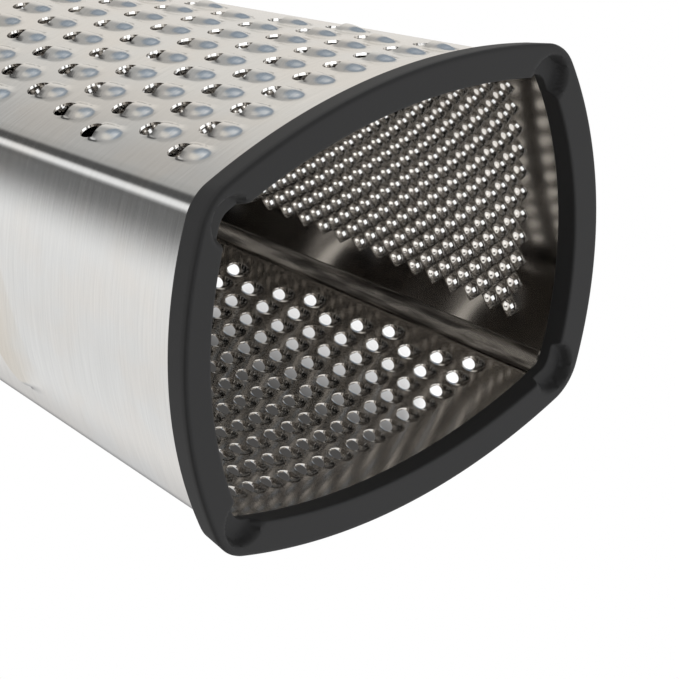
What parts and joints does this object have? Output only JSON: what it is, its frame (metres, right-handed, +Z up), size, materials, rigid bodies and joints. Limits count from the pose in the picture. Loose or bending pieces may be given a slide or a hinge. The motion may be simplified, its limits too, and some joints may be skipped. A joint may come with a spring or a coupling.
{
  "type": "box grater",
  "caption": "Tapered four-sided steel grater with coarse, medium and fine teeth and slicing slots, a silicone foot ring, and a bow handle with a soft grip.",
  "frame": {"origin": "centre of the underside of the silicone foot", "axes": "+Z up from the foot to the handle, the coarse teeth face -Y, the medium teeth +Y, the fine teeth +X, the slicing slots -X"},
  "size_m": [0.11, 0.0874, 0.2406],
  "materials": {
    "sheet_steel": "polished outside, brushed on the slicing side",
    "silicone": "matte moulded",
    "moulded_plastic": "fine moulded texture",
    "soft_grip": "matte soft touch",
    "rivet_steel": "polished",
    "screw_steel": "plain"
  },
  "bodies": {
    "root": {"grater_body": "sheet_steel", "foot_ring": "silicone", "top_cap": "moulded_plastic", "handle_frame": "moulded_plastic", "handle_grip": "soft_grip", "cap_rivet_front_left": "rivet_steel", "cap_rivet_front_right": "rivet_steel", "cap_rivet_back_left": "rivet_steel", "cap_rivet_back_right": "rivet_steel", "handle_screw_left": "screw_steel", "handle_screw_right": "screw_steel"}
  },
  "joints": []
}
